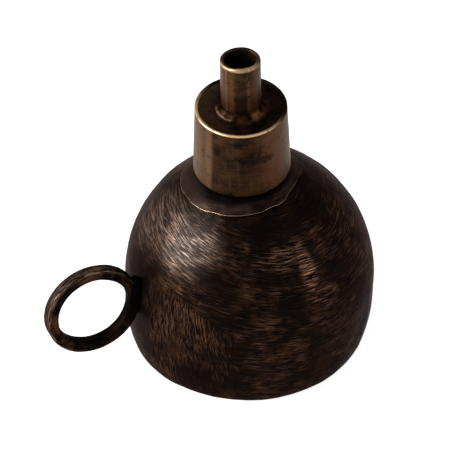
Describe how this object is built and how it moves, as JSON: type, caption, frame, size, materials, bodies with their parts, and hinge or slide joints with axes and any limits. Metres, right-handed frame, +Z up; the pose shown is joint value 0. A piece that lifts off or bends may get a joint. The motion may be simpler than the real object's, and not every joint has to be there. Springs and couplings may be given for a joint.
{
  "type": "oil lamp",
  "caption": "Small domed oil lamp with a finger ring, a dished neck collar, and a lift-off brass burner cap holding a wick tube.",
  "frame": {"origin": "centre of the flat underside of the base plate", "axes": "+Z up out of the base, the finger ring points to -X, -Y is the side the ring leans out of"},
  "size_m": [0.1049, 0.08, 0.1085],
  "materials": {
    "patinated_copper": "dark brown-black patina, brushed",
    "aged_brass": "tarnished, satin",
    "dark_brass": "dark brown patina",
    "solder": "dulled soft solder",
    "cotton": "matt, charred at the top"
  },
  "bodies": {
    "lamp_body": {"reservoir_dome": "patinated_copper", "base_plate": "patinated_copper", "base_solder": "solder", "collar_disc": "patinated_copper", "collar_solder": "solder", "filler_neck": "patinated_copper", "neck_solder": "solder", "finger_ring": "patinated_copper", "ring_solder": "solder"},
    "burner_cap": {"cap_sleeve": "aged_brass", "cap_plate": "dark_brass", "plate_solder": "solder", "cap_bush": "aged_brass", "wick_tube": "aged_brass", "tube_solder": "solder"},
    "wick": {"wick": "cotton"}
  },
  "joints": [
    {"name": "cap_lift", "type": "slide", "parent": "lamp_body", "child": "burner_cap", "axis": [-0.0175, 0, 0.9998], "range_m": [0, 0.075]},
    {"name": "wick_feed", "type": "slide", "parent": "burner_cap", "child": "wick", "axis": [-0.0175, 0, 0.9998], "range_m": [-0.006, 0.012]}
  ]
}
